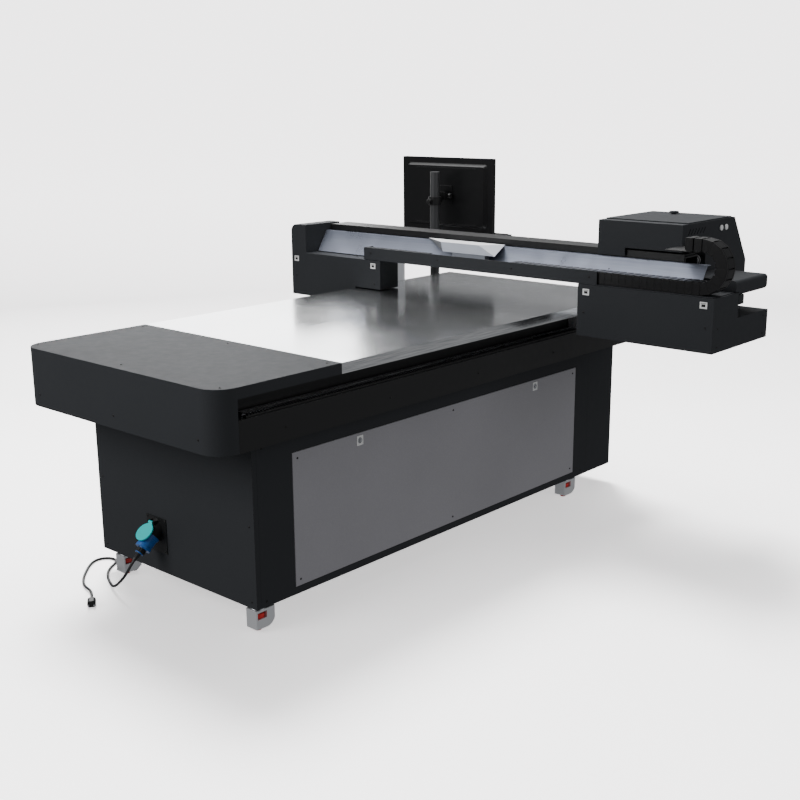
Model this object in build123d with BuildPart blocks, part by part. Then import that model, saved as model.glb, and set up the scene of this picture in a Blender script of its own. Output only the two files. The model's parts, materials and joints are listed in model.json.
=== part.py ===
"""A flatbed UV printer: a cabinet with a vacuum table, a gantry that runs along the table, a print
carriage that runs along the gantry, an operator station, and a mains lead.

Millimetres. X runs across the table, Y towards the back, Z up, and the floor is at zero.
"""
from build123d import *
import math
import os

os.makedirs("parts", exist_ok=True)

# ------------------------------------------------------------------ driving dimensions
table_x = -147                      # centre line of the table
table_width = 1088
table_front = -1380
table_back = 1045
table_top = 900
table_bottom = 687                  # also the top of the cabinet
corner_radius = 80                  # of the two front corners of the table
platen_front = -841
platen_thickness = 38
slot_bottom = 794                   # the slot along each side of the table
sheet = 2                           # thickness of the folded sheets
wall = 3                            # thickness of the gantry housings
gap = 0.5                           # between neighbouring covers

cabinet_width = 886
cabinet_front = -1165
cabinet_back = 1030
cabinet_bottom = 86

service_front, service_back = -987, 726         # opening of the service panel
service_low, service_high = 112, 601

gantry_front = 363
beam_front, beam_back = 540, 640
beam_bottom, beam_top = 1060, 1155
trough_floor = 1038
housing_bottom = 829

chain_front, chain_back = 372, 438
chain_x, chain_z = 1056, 1146       # centre of the chain's bend
chain_inner, chain_outer = 55, 105
chain_anchor_x = 175                # fixed end of the lower run
chain_top_x = 983                   # carriage end of the upper run
link_pitch = math.pi * (chain_inner + chain_outer) / 2 / 8      # eight links on the half turn

carriage_left, carriage_right = 518, 895
carriage_front, carriage_back = 520, 1070
carriage_top = 1278

castor_spots = {"front_right": (264, -1133), "back_right": (264, 705),
                "front_left": (-490, -1133), "back_left": (-490, 705)}

pole_x, pole_y, pole_radius = -845, 1110, 24
monitor_width, monitor_bottom, monitor_top = 604, 1076, 1460
monitor_left, monitor_back_face = -1161, 1205

inlet_x, inlet_z = -240, 249.5      # where the inlet's axis meets the front of the cabinet
inlet_slope = 40                    # degrees that the axis points down
cord_radius = 5
cord_route = [(-240, -1250.8, 177.5), (-240, -1279.9, 153.1), (-262, -1296, 104),
              (-308, -1299, 58), (-373, -1279, 20), (-441, -1247, 5.3),
              (-507, -1215, 5.3), (-563, -1169, 5.3), (-604, -1098, 5.3),
              (-654, -1097, 5.3), (-681.5, -1136.3, 5.3), (-664.5, -1181.5, 5.3),
              (-609.3, -1240.2, 5.3), (-551.3, -1292.4, 5.3), (-485.5, -1330.4, 8),
              (-414.6, -1342.9, 12.2), (-367.1, -1376.2, 12.2)]

# places worked out from them
table_left = table_x - table_width / 2
table_right = table_x + table_width / 2
cabinet_left = table_x - cabinet_width / 2
cabinet_right = table_x + cabinet_width / 2
platen_bottom = table_top - platen_thickness
apron_back = table_front + corner_radius + 4
cover_z = table_top - sheet


# ------------------------------------------------------------------ helpers
def block(low, high, mode=Mode.ADD):
    """A block between two opposite corners."""
    size = [high[i] - low[i] for i in range(3)]
    middle = [(high[i] + low[i]) / 2 for i in range(3)]
    with Locations(tuple(middle)):
        Box(*size, mode=mode)


def rod(start, direction, length, radius, mode=Mode.ADD):
    """A round bar or a round hole."""
    with BuildSketch(Plane(origin=start, z_dir=direction)) as section:
        Circle(radius)
    extrude(section.sketch, amount=length, mode=mode)


def prism(plane, points, thickness, mode=Mode.ADD):
    """A straight-sided outline on a plane, made thick."""
    with BuildSketch(plane) as profile:
        with BuildLine():
            Polyline(*points, close=True)
        make_face()
    extrude(profile.sketch, amount=thickness, mode=mode)


def at_x(x):
    """A plane of side views: its first direction is Y, its second Z, and it faces +X."""
    return Plane.YZ.offset(x)


def at_y(y):
    """A plane of front views: its first direction is X, its second Z, and it faces -Y."""
    return Plane.XZ.offset(-y)


def mirrored(x):
    """The same distance on the other side of the table's centre line."""
    return 2 * table_x - x


def across(x_low, x_high):
    """A span across the table and its mirror image, each from low to high."""
    return [(x_low, x_high), (mirrored(x_high), mirrored(x_low))]


def save(piece, name):
    piece.part.label = name
    export_step(piece.part, f"parts/{name}.step")


# ------------------------------------------------------------------ base frame
bar = 50
frame_right = cabinet_right - 18
frame_front = cabinet_front + sheet
frame_back = cabinet_back - sheet
web_inner, web_outer = 312, 324
rail_box_outer = 372
end_plate = 5
frame_sides = across(frame_right - bar, frame_right)
lower_cross = [frame_front, -300, 675, frame_back - bar]
upper_cross = [frame_front, -60, frame_back - bar]
table_cross = [-540, 20, 620]
platen_ribs = [platen_front + 20, -200, 420, table_back - 25]
rib = 12
stem_bore = 8.3

with BuildPart() as base_frame:
    for left, right in frame_sides:
        block((left, frame_front, cabinet_bottom), (right, frame_back, cabinet_bottom + bar))
        block((left, frame_front, table_bottom - bar), (right, frame_back, table_bottom))
        for y in upper_cross:
            block((left, y, cabinet_bottom), (right, y + bar, table_bottom))
    frame_left = mirrored(frame_right)
    for y in lower_cross:
        block((frame_left, y, cabinet_bottom), (frame_right, y + bar, cabinet_bottom + bar))
    for y in upper_cross:
        block((frame_left, y, table_bottom - bar), (frame_right, y + bar, table_bottom))
    # table frame: two long webs, a box beside each for the linear guide, and cross members
    for left, right in across(web_inner, web_outer):
        block((left, apron_back + 6, table_bottom + sheet),
              (right, table_back - end_plate, platen_bottom))
    for left, right in across(web_outer, rail_box_outer):
        block((left, apron_back + 6, table_bottom + sheet),
              (right, table_back - end_plate, slot_bottom - 4))
    web_left = mirrored(web_inner)
    block((web_left, apron_back + 6, table_bottom + sheet), (web_inner, apron_back + 56, table_bottom + bar))
    for y in table_cross + [frame_front, frame_back - bar]:
        block((web_left, y, table_bottom), (web_inner, y + bar, table_bottom + bar))
    for y in platen_ribs:
        block((web_left, y, table_bottom + bar / 2), (web_inner, y + rib, platen_bottom))
    block((table_x - bar / 2, frame_front, table_bottom), (table_x + bar / 2, frame_back, table_bottom + bar))
    for left, right in across(web_outer + 5, rail_box_outer - 5):
        block((left, apron_back + 5, table_bottom + sheet + 5), (right, table_back - 20, slot_bottom - 9),
              Mode.SUBTRACT)
    block((table_left, table_back - end_plate, table_bottom), (table_right, table_back, platen_bottom))
    for x, y in castor_spots.values():
        rod((x, y, cabinet_bottom - 1), (0, 0, 1), 31, stem_bore, Mode.SUBTRACT)
save(base_frame, "base_frame")

# ------------------------------------------------------------------ cabinet panels
flange = 20
inlet_half_width = 57
inlet_low, inlet_high = 163, 295

with BuildPart() as front_panel:
    block((cabinet_left, cabinet_front, cabinet_bottom), (cabinet_right, cabinet_front + sheet, table_bottom))
    for left, right in across(cabinet_right - sheet, cabinet_right):
        block((left, cabinet_front, cabinet_bottom), (right, cabinet_front + flange, table_bottom))
    block((inlet_x - inlet_half_width + 11, cabinet_front - 1, inlet_low + 12),
          (inlet_x + inlet_half_width - 11, cabinet_front + sheet + 1, inlet_high - 12), Mode.SUBTRACT)
save(front_panel, "front_panel")

column_depth = 203
with BuildPart() as rear_panel:
    block((cabinet_left, cabinet_back - sheet, cabinet_bottom), (cabinet_right, cabinet_back, table_bottom))
    for left, right in across(cabinet_right - sheet, cabinet_right):
        block((left, cabinet_back - column_depth, cabinet_bottom), (right, cabinet_back, table_bottom))
    with BuildSketch(at_y(cabinet_back + 1)):
        with Locations((table_x, 420)):
            with GridLocations(190, 26, 3, 9):
                SlotOverall(150, 8)
    extrude(amount=sheet + 2, mode=Mode.SUBTRACT)
save(rear_panel, "rear_panel")

panel_front = cabinet_front + flange + gap
panel_back = cabinet_back - column_depth - gap
with BuildPart() as side_panel_right:
    block((cabinet_right - sheet, panel_front, cabinet_bottom), (cabinet_right, panel_back, table_bottom))
    block((cabinet_right - sheet - 1, service_front, service_low),
          (cabinet_right + 1, service_back, service_high), Mode.SUBTRACT)
save(side_panel_right, "side_panel_right")

with BuildPart() as side_panel_left:
    block((cabinet_left, panel_front, cabinet_bottom), (cabinet_left + sheet, panel_back, table_bottom))
    with BuildSketch(at_x(cabinet_left - 1)):
        with Locations((-160, 300)):
            with GridLocations(220, 24, 3, 8):
                SlotOverall(180, 8)
    extrude(amount=sheet + 2, mode=Mode.SUBTRACT)
save(side_panel_left, "side_panel_left")

# service panel: a tray that hinges on its bottom edge, with two quarter-turn latches
tray_gap = 2
tray_depth = 14
tray_face = cabinet_right + 1
latch_radius = 9
latch_z = 571
latch_spots = {"front": -656, "back": 416}
with BuildPart() as service_panel:
    block((tray_face - tray_depth, service_front + tray_gap, service_low + tray_gap),
          (tray_face, service_back - tray_gap, service_high - tray_gap))
    fillet(service_panel.edges().group_by(Axis.X)[-1], radius=1.2)
    rim = tray_gap + sheet
    block((tray_face - tray_depth - 1, service_front + rim, service_low + rim),
          (tray_face - sheet, service_back - rim, service_high - rim), Mode.SUBTRACT)
    for y in latch_spots.values():
        rod((tray_face - 4, y, latch_z), (1, 0, 0), 6, latch_radius + 0.3, Mode.SUBTRACT)
save(service_panel, "service_panel")

for name, y in latch_spots.items():
    with BuildPart() as latch:
        rod((tray_face - 17, y, latch_z), (1, 0, 0), 18, latch_radius)
        rod((tray_face, y, latch_z), (1, 0, 0), 1.2, latch_radius + 2.5)
        block((tray_face, y - 2, latch_z - 9), (tray_face + 5, y + 2, latch_z + 9))
        block((tray_face - 20, y - 8, latch_z - 6), (tray_face - 16.5, y + 34, latch_z + 6))
    save(latch, f"latch_{name}")

# ------------------------------------------------------------------ inside the cabinet
plate_x = 150
with BuildPart() as electronics:
    shelf_z = cabinet_bottom + bar
    block((plate_x - 90, -700, shelf_z), (plate_x + 60, 100, shelf_z + 4))
    block((plate_x, -700, shelf_z), (plate_x + 4, 100, 560))
    for y in (-660, -510, -360):
        block((plate_x + 4, y, 180), (plate_x + 54, y + 115, 395))
    for y in (-200, -50):
        block((plate_x + 4, y, 200), (plate_x + 30, y + 120, 420))
    for z in (440, 500):
        block((plate_x + 4, -660, z), (plate_x + 44, 60, z + 30))
save(electronics, "electronics_plate")

blower_x, blower_z = -300, 260
with BuildPart() as blower:
    block((blower_x - 110, 640, cabinet_bottom + bar), (blower_x + 110, 760, cabinet_bottom + bar + 6))
    block((blower_x - 45, 655, cabinet_bottom + bar), (blower_x + 45, 745, blower_z - 40))
    rod((blower_x, 790, blower_z), (0, -1, 0), 240, 70)
    rod((blower_x, 560, blower_z), (0, -1, 0), 80, 118)
    rod((blower_x, 520, blower_z), (0, 0, 1), platen_bottom - blower_z, 25)
save(blower, "vacuum_blower")

# ------------------------------------------------------------------ table
with BuildPart() as platen:
    block((table_left, platen_front + gap, platen_bottom), (table_right, table_back, table_top))
    chamfer(platen.edges().group_by(Axis.Z)[-1], length=1)
save(platen, "platen")


def front_outline(inset, back):
    """The table's plan view at its front: two round corners and a straight back."""
    with BuildSketch(Plane.XY, mode=Mode.PRIVATE) as plan:
        with BuildLine():
            Polyline((table_left + inset, back), (table_left + inset, table_front + inset),
                     (table_right - inset, table_front + inset), (table_right - inset, back), close=True)
        make_face()
        fillet(plan.vertices().group_by(Axis.Y)[0], radius=corner_radius - inset)
    return plan.sketch


with BuildPart() as apron:
    outer = front_outline(0, apron_back)
    extrude(Plane.XY.offset(table_bottom) * outer, amount=cover_z - table_bottom)
    fillet(apron.edges().group_by(Axis.Z)[0].group_by(Axis.Y)[0], radius=1.5)
    inner = front_outline(sheet, apron_back + 1)
    inner_floor = Plane.XY.offset(table_bottom + sheet)
    extrude(inner_floor * inner, amount=table_top - table_bottom, mode=Mode.SUBTRACT)
    block((web_left, apron_back, table_bottom), (web_inner, cabinet_front - gap, table_bottom + sheet))
save(apron, "apron")

with BuildPart() as front_cover:
    extrude(Plane.XY.offset(cover_z) * front_outline(0, platen_front), amount=sheet)
    for left, right in across(table_right - sheet, table_right):
        block((left, apron_back, platen_bottom), (right, platen_front, cover_z))
    fillet(front_cover.edges().group_by(Axis.Z)[-1], radius=1)
save(front_cover, "front_cover")

side_rail_spans = {"right": 1, "left": -1}
underside = table_right - web_inner
for name, side in side_rail_spans.items():
    edge = table_x + side * table_width / 2
    profile = [(edge, table_bottom), (edge, slot_bottom), (edge - side * 23, slot_bottom),
               (edge - side * 23, slot_bottom - sheet), (edge - side * sheet, slot_bottom - sheet),
               (edge - side * sheet, table_bottom + sheet), (edge - side * underside, table_bottom + sheet),
               (edge - side * underside, table_bottom)]
    with BuildPart() as side_rail:
        prism(at_y(table_back - end_plate - gap), profile, table_back - end_plate - 2 * gap - apron_back)
    save(side_rail, f"side_rail_{name}")

guide_inner, guide_outer = 339, 359
guide_top = 806
with BuildPart() as linear_guides:
    for left, right in across(guide_inner, guide_outer):
        block((left, apron_back + 46, slot_bottom - 4), (right, table_back - end_plate, guide_top))
        groove_z = slot_bottom + 2
        for low, high in ((left - 1, left + 2.5), (right - 2.5, right + 1)):
            block((low, apron_back + 45, groove_z), (high, table_back, groove_z + 4), Mode.SUBTRACT)
save(linear_guides, "linear_guides")

# ------------------------------------------------------------------ levelling castors
housing_half = 28
housing_nose, housing_tail = -32, 52
wheel_y, wheel_z, wheel_radius, wheel_half = 29, 20, 20, 11
axle_radius = 4
pad_y, pad_radius = -4, 12
thumbwheel_low, thumbwheel_high, thumbwheel_radius = 48, 64, 24
recess_top = 73                     # of the round recess that the thumbwheel rises in

for name, (x, y) in castor_spots.items():
    with BuildPart() as housing:
        with BuildSketch(at_x(x - housing_half)):
            with BuildLine():
                Polyline((y + housing_nose, 12), (y + housing_nose, 79.7), (y + housing_tail, 79.7),
                         (y + housing_tail, 44))
                ThreePointArc((y + housing_tail, 44), (y + 42, 24), (y + 18, 12))
                Line((y + 18, 12), (y + housing_nose, 12))
            make_face()
        extrude(amount=2 * housing_half)
        fillet(housing.edges().filter_by(Axis.Z), radius=4)
        rod((x, y, 79.7), (0, 0, 1), 6, 26)
        rod((x, y, 85), (0, 0, 1), 25, stem_bore - 0.3)
        block((x - wheel_half - 1, y + 6, 11), (x + wheel_half + 1, y + housing_tail + 1, 48), Mode.SUBTRACT)
        rod((x, y + pad_y, 11), (0, 0, 1), 8, pad_radius + 1, Mode.SUBTRACT)
        rod((x, y + pad_y, 11), (0, 0, 1), 66, 6.3, Mode.SUBTRACT)
        rod((x, y + pad_y, thumbwheel_low - 1), (0, 0, 1), recess_top - thumbwheel_low + 1,
            thumbwheel_radius + 1, Mode.SUBTRACT)
        for side in (-1, 1):
            block((x + side * 21 - 8, y - 27, thumbwheel_low - 1),
                  (x + side * 21 + 8, y + 14, recess_top - 1), Mode.SUBTRACT)
        rod((x - housing_half + 2, y + wheel_y, wheel_z), (1, 0, 0), 2 * housing_half - 4, axle_radius)
    save(housing, f"castor_{name}_housing")

    with BuildPart() as castor_wheel:
        rod((x - wheel_half, y + wheel_y, wheel_z), (1, 0, 0), 2 * wheel_half, wheel_radius)
        fillet(castor_wheel.edges(), radius=3)
        rod((x - wheel_half - 1, y + wheel_y, wheel_z), (1, 0, 0), 2 * wheel_half + 2, axle_radius + 0.1,
            Mode.SUBTRACT)
    save(castor_wheel, f"castor_{name}_wheel")

    with BuildPart() as adjuster:
        rod((x, y + pad_y, 0), (0, 0, 1), 8, pad_radius)
        rod((x, y + pad_y, 7), (0, 0, 1), 59, 6)
        rod((x, y + pad_y, thumbwheel_low), (0, 0, 1), thumbwheel_high - thumbwheel_low,
            thumbwheel_radius)
        with BuildSketch(Plane.XY.offset(thumbwheel_low - 1)):
            with Locations((x, y + pad_y)):
                with PolarLocations(thumbwheel_radius, 24):
                    Circle(1.2)
        extrude(amount=thumbwheel_high - thumbwheel_low + 2, mode=Mode.SUBTRACT)
    save(adjuster, f"castor_{name}_adjuster")

# ------------------------------------------------------------------ power inlet, lead and plug
slope = math.radians(inlet_slope)
inlet_direction = (0, -math.cos(slope), -math.sin(slope))
inlet_up = (0, -math.sin(slope), math.cos(slope))


def on_inlet(along, above, x=inlet_x):
    """A point beside the inlet's axis: so far along it, and so far above it."""
    y = cabinet_front + along * inlet_direction[1] + above * inlet_up[1]
    z = inlet_z + along * inlet_direction[2] + above * inlet_up[2]
    return (x, y, z)


mouth = 34                          # where the connector meets the inlet
connector_end, gland_end = 90, 112
pin_along, pin_above = -1, 40
lid_radius, lid_low, lid_thick, lid_along = 36, 34.5, 5, 41
hinge_radius = 2.5

with BuildPart() as inlet:
    rod(on_inlet(-40, 0), inlet_direction, mouth + 40, 33)
    block((inlet_x - 100, cabinet_front - 2, 100), (inlet_x + 100, cabinet_front + 100, 400), Mode.SUBTRACT)
    block((inlet_x - inlet_half_width, cabinet_front - 3, inlet_low),
          (inlet_x + inlet_half_width, cabinet_front, inlet_high))
    block((inlet_x - 44, cabinet_front - 1, inlet_low + 14),
          (inlet_x + 44, cabinet_front + 45, inlet_high - 14))
    pin_y, pin_z = on_inlet(pin_along, pin_above)[1:]
    for side in (-1, 1):
        lug_x = inlet_x + side * 15
        block((lug_x - 3, pin_y - 4, pin_z - 4), (lug_x + 3, cabinet_front - 1, pin_z + 4))
    rod((inlet_x - 18, pin_y, pin_z), (1, 0, 0), 36, hinge_radius)
save(inlet, "inlet")

with BuildPart() as inlet_lid:
    with BuildSketch(Plane(origin=on_inlet(0, lid_low), x_dir=(1, 0, 0), z_dir=inlet_up)):
        with Locations((0, -lid_along)):
            Circle(lid_radius)
        with Locations((0, -3)):
            Rectangle(22, 8)
    extrude(amount=lid_thick)
    rod(on_inlet(pin_along, pin_above, inlet_x - 11), (1, 0, 0), 22, 5)
    rod(on_inlet(pin_along, pin_above, inlet_x - 12), (1, 0, 0), 24, hinge_radius + 0.08, Mode.SUBTRACT)
save(inlet_lid, "inlet_lid")

with BuildPart() as connector:
    rod(on_inlet(mouth, 0), inlet_direction, connector_end - mouth, 28)
    rod(on_inlet(mouth, 0), inlet_direction, 9, 31)
    rod(on_inlet(connector_end - 10, 0), inlet_direction, 10, 30)
    rod(on_inlet(connector_end, 0), inlet_direction, gland_end - connector_end, 16)
save(connector, "connector")


def corner_radii(route):
    """The largest even radius at each corner: 0.45 of the shorter run over the tangent of half the turn."""
    radii = []
    for before, corner, after in zip(route, route[1:], route[2:]):
        first = Vector(*corner) - Vector(*before)
        second = Vector(*after) - Vector(*corner)
        turn = math.radians(first.get_angle(second))
        radii.append(0.45 * min(first.length, second.length) / math.tan(turn / 2))
    return radii


with BuildPart() as cord:
    with BuildLine() as cord_path:
        FilletPolyline(*cord_route, radius=corner_radii(cord_route))
    with BuildSketch(Plane(origin=cord_path.line @ 0, z_dir=cord_path.line % 0)):
        Circle(cord_radius)
    sweep()
save(cord, "cord")
cord_length = cord_path.wires()[0].length
print("cord radii", [round(radius) for radius in corner_radii(cord_route)])
print("cord length", round(cord_length), "volume over section times length",
      round(cord.part.volume / (math.pi * cord_radius ** 2 * cord_length), 4))

plug_from, plug_at = cord_route[-2], cord_route[-1]
plug_heading = (plug_at[0] - plug_from[0], plug_at[1] - plug_from[1], 0)
plug_plane = Plane(origin=plug_at, x_dir=(-plug_heading[1], plug_heading[0], 0), z_dir=plug_heading)
relief_length, plug_length, pin_length = 24, 36, 19
with BuildPart() as mains_plug:
    with BuildSketch(plug_plane):
        Circle(6.2)
    with BuildSketch(plug_plane.offset(relief_length)):
        Circle(8.5)
    loft()
    with BuildSketch(plug_plane.offset(relief_length)):
        RectangleRounded(30, 24, 9)
    extrude(amount=plug_length)
    with BuildSketch(plug_plane.offset(relief_length + plug_length)):
        with GridLocations(19, 1, 2, 1):
            Circle(2.4)
    extrude(amount=pin_length)
save(mains_plug, "mains_plug")

# ------------------------------------------------------------------ operator station
pole_bottom, pole_top = 560, 1393
bracket_z = 600
shelf_top = 1060
keyboard_body, keycap = 10, 4
shelf_collar, arm_collar = shelf_top - 26, 1225         # undersides of the two collars
stop_ring = 1.7
with BuildPart() as pole:
    rod((pole_x, pole_y, pole_bottom), (0, 0, 1), pole_top - pole_bottom, pole_radius)
    block((pole_x - 30, cabinet_back, bracket_z), (cabinet_left + 130, cabinet_back + 40, bracket_z + 40))
    block((pole_x - 30, cabinet_back, bracket_z), (pole_x + 30, pole_y, bracket_z + 40))
    rod((pole_x, pole_y, bracket_z - 10), (0, 0, 1), 60, pole_radius + 8)
    rod((pole_x, pole_y, pole_bottom - 1), (0, 0, 1), pole_top - pole_bottom - 3, pole_radius - 3,
        Mode.SUBTRACT)
    for z in (shelf_collar - 2, arm_collar - 2):
        rod((pole_x, pole_y, z), (0, 0, 1), stop_ring, pole_radius + 4)
        rod((pole_x, pole_y, z - 1), (0, 0, 1), 4, pole_radius - 3, Mode.SUBTRACT)
    fillet(pole.edges().group_by(Axis.Z)[-1], radius=2)
save(pole, "pole")

collar_play = 0.1
tilt_x, tilt_y, tilt_z = -855, 1186, 1268
with BuildPart() as monitor_arm:
    rod((pole_x, pole_y, arm_collar), (0, 0, 1), 42, pole_radius + 9)
    block((tilt_x - 16, pole_y, 1235), (tilt_x + 16, tilt_y - 26, 1262))
    block((tilt_x - 36, tilt_y - 30, tilt_z - 20), (tilt_x + 36, tilt_y - 16, tilt_z + 20))
    for side in (-1, 1):
        cheek_x = tilt_x + side * 29
        block((cheek_x - 7, tilt_y - 20, tilt_z - 12), (cheek_x + 7, tilt_y + 10, tilt_z + 12))
    rod((tilt_x - 34, tilt_y, tilt_z), (1, 0, 0), 68, 5)
    rod((pole_x, pole_y, arm_collar - 1), (0, 0, 1), 44, pole_radius + collar_play, Mode.SUBTRACT)
save(monitor_arm, "monitor_arm")

monitor_right = monitor_left + monitor_width
screen_face = monitor_back_face + 40
with BuildPart() as monitor:
    block((monitor_left, screen_face - 22, monitor_bottom), (monitor_right, screen_face, monitor_top))
    fillet(monitor.edges().filter_by(Axis.Y), radius=6)
    with BuildSketch(at_y(screen_face - 22)):
        with Locations(((monitor_left + monitor_right) / 2, (monitor_bottom + monitor_top) / 2)):
            RectangleRounded(monitor_width - 70, monitor_top - monitor_bottom - 60, 20)
    extrude(amount=18, taper=35)
    block((tilt_x - 50, monitor_back_face - 3, tilt_z - 50),
          (tilt_x + 50, monitor_back_face + 2, tilt_z + 50))
    block((tilt_x - 20, tilt_y, tilt_z - 11), (tilt_x + 20, monitor_back_face, tilt_z + 11))
    rod((tilt_x - 20, tilt_y, tilt_z), (1, 0, 0), 40, 11)
    rod((tilt_x - 21, tilt_y, tilt_z), (1, 0, 0), 42, 5.1, Mode.SUBTRACT)
    block((monitor_left + 9, screen_face - 1, monitor_bottom + 16),
          (monitor_right - 9, screen_face + 1, monitor_top - 9), Mode.SUBTRACT)
save(monitor, "monitor")

with BuildPart() as keyboard_shelf:
    block((-1010, 1156, shelf_top - 3), (-470, 1380, shelf_top))
    fillet(keyboard_shelf.edges().filter_by(Axis.Z), radius=12)
    for x in (-1010, -472):
        block((x, 1170, shelf_top - 14), (x + 2, 1366, shelf_top - 1))
    block((pole_x - 22, pole_y, shelf_top - 12), (pole_x + 22, 1250, shelf_top - 1))
    rod((pole_x, pole_y, shelf_collar), (0, 0, 1), 26, pole_radius + 9)
    rod((pole_x, pole_y, shelf_collar - 1), (0, 0, 1), 28, pole_radius + collar_play, Mode.SUBTRACT)
save(keyboard_shelf, "keyboard_shelf")

keyboard_left, keyboard_right, keyboard_front, keyboard_back = -986, -546, 1246, 1378
with BuildPart() as keyboard:
    block((keyboard_left, keyboard_front, shelf_top),
          (keyboard_right, keyboard_back, shelf_top + keyboard_body))
    fillet(keyboard.edges().filter_by(Axis.Z), radius=6)
    with BuildSketch(Plane.XY.offset(shelf_top + keyboard_body)):
        with Locations(((keyboard_left + keyboard_right) / 2, (keyboard_front + keyboard_back) / 2)):
            with GridLocations(21, 21, 20, 5):
                RectangleRounded(17, 17, 2)
    extrude(amount=keycap)
save(keyboard, "keyboard")

# ------------------------------------------------------------------ gantry
beam_left, beam_right = -1025, 900
pulley_radius, pulley_z = 20, 1130
idler_x, drive_x = -1005, 880
shaft_radius = 4
tray_top = 940
with BuildPart() as beam:
    block((beam_left, beam_front, beam_bottom), (beam_right, beam_back, beam_top))
    block((beam_left - 1, beam_front + 6, beam_bottom + 6), (beam_right + 1, beam_back - 6, beam_top - 6),
          Mode.SUBTRACT)
    block((-1000, 550, 1036), (-760, 630, beam_bottom))
    block((600, 566, tray_top), (860, 634, beam_bottom))
    for x in (idler_x, drive_x):
        rod((x, beam_back - 1, pulley_z), (0, 1, 0), 19.5, shaft_radius)
save(beam, "beam")

left_end, cap_right = -1130, -1029
left_inner = -701                   # right side of the deep part, outside the table
leg_right, leg_back, leg_bottom = -542, 485, 904
left_back, cap_back = 705, 596
left_top, cap_top = 1036, 1170
with BuildPart() as left_housing:
    block((left_end, gantry_front, housing_bottom), (left_inner, left_back, left_top))
    block((left_end, gantry_front, leg_bottom), (leg_right, leg_back, left_top))
    block((left_end, gantry_front, left_top - 10), (cap_right, cap_back, cap_top))
    cap_corner = left_housing.edges().filter_by(Axis.Y).group_by(Axis.Z)[-1].sort_by(Axis.X)[0]
    fillet(cap_corner, radius=34)
    fillet(left_housing.faces().sort_by(Axis.Y)[0].edges(), radius=1.5)
    block((left_end + wall, gantry_front + wall, housing_bottom - 1),
          (left_inner - wall, left_back - wall, left_top - wall), Mode.SUBTRACT)
    block((left_end + wall, gantry_front + wall, leg_bottom + wall),
          (leg_right - wall, leg_back - wall, left_top - wall), Mode.SUBTRACT)
    block((left_end + wall + 12, gantry_front + wall, left_top - 11),
          (cap_right - wall, cap_back - wall, cap_top - wall - 12), Mode.SUBTRACT)
save(left_housing, "left_housing")

right_inner, right_end = 530, 1122
right_step, right_back = 558, 819
right_top = 1037
right_side = [(gantry_front, housing_bottom), (right_back, housing_bottom), (right_back, tray_top),
              (right_step, tray_top), (right_step, right_top), (gantry_front, right_top)]
right_hollow = [(gantry_front + wall, housing_bottom + wall), (right_back - wall, housing_bottom + wall),
                (right_back - wall, tray_top - wall), (right_step - wall, tray_top - wall),
                (right_step - wall, right_top - wall), (gantry_front + wall, right_top - wall)]
with BuildPart() as right_housing:
    prism(at_x(right_inner), right_side, right_end - right_inner)
    fillet(right_housing.faces().sort_by(Axis.Y)[0].edges(), radius=1.5)
    prism(at_x(right_inner + wall), right_hollow, right_end - right_inner - 2 * wall, Mode.SUBTRACT)
    # way for the print heads, up from the capping tray and out over the table
    block((right_inner - 1, 690, 893), (870, right_back - wall, tray_top + 1), Mode.SUBTRACT)
save(right_housing, "right_housing")

cover_left, cover_right = -642, 617
cover_top = 1093
trough_right = 1115
slope_foot, slope_head, slope_lip = 445, 503, 530
slope_top = 1133
with BuildPart() as beam_front_cover:
    block((cover_left, gantry_front, trough_floor), (trough_right, slope_lip, trough_floor + sheet))
    block((cover_left, gantry_front, trough_floor), (cover_right, gantry_front + sheet, cover_top))
    block((cover_left, gantry_front, trough_floor), (cover_left + sheet, slope_foot - 20, cover_top))
    block((cover_left, gantry_front, cover_top - sheet), (-255, gantry_front + 34, cover_top))
    block((cover_left, gantry_front, cover_top - sheet), (cover_right, gantry_front + 7, cover_top))
save(beam_front_cover, "beam_front_cover")

slope_left, slope_right = -1026, 1015
slope_run = slope_head - slope_foot
slope_rise = slope_top - trough_floor - sheet
slope_length = math.hypot(slope_run, slope_rise)
lean_y, lean_z = sheet * slope_rise / slope_length, sheet * slope_run / slope_length
slope_base = trough_floor + sheet
with BuildPart() as slope_sheet:
    prism(at_x(slope_left),
          [(slope_foot, slope_base), (slope_head, slope_top),
           (slope_lip, slope_top), (slope_lip, slope_top + sheet),
           (slope_head - lean_y, slope_top + sheet), (slope_foot - lean_y, slope_base + lean_z),
           (slope_foot - lean_y, slope_base)], slope_right - slope_left)
save(slope_sheet, "slope_sheet")

# hood over the fixed end of the cable chain: flat on top, sloping at the front, cut back at both ends
hood_back, hood_ridge, hood_nose = 512, 427, 400
hood_top, hood_nose_z = 1142, 1104
hood_ends = {"left": [(-375, hood_back), (-234, hood_ridge), (-200, hood_nose)],
             "right": [(57, hood_back), (-22, hood_ridge), (85, hood_nose)]}
hood_profile = [(hood_back, hood_top), (hood_ridge, hood_top), (hood_nose, hood_nose_z)]
with BuildPart() as saddle_cover:
    prism(at_x(-375), hood_profile, 460)
    for name, ((x1, y1), (x2, y2), (x3, y3)) in hood_ends.items():
        top_back = Vector(x1, y1, hood_top)
        top_front = Vector(x2, y2, hood_top)
        nose = Vector(x3, y3, hood_nose_z)
        normal = (top_front - top_back).cross(nose - top_back)
        outward = normal if (normal.X > 0) == (name == "right") else -normal
        split(bisect_by=Plane(origin=top_back, z_dir=outward), keep=Keep.BOTTOM)
    block((-150, 404, slope_base), (30, 432, 1108))
save(saddle_cover, "saddle_cover")

with BuildPart() as rail_cover:
    block((beam_left, 532, 1162), (beam_right, 650, 1164))
    block((beam_left, 532, 1137), (beam_right, 534, 1164))
    block((beam_left, 648, 1157), (beam_right, 650, 1164))
    for x in (-1000, -500, 0, 450, 860):
        block((x, 545, beam_top), (x + 30, 635, 1163))
save(rail_cover, "rail_cover")

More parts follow.
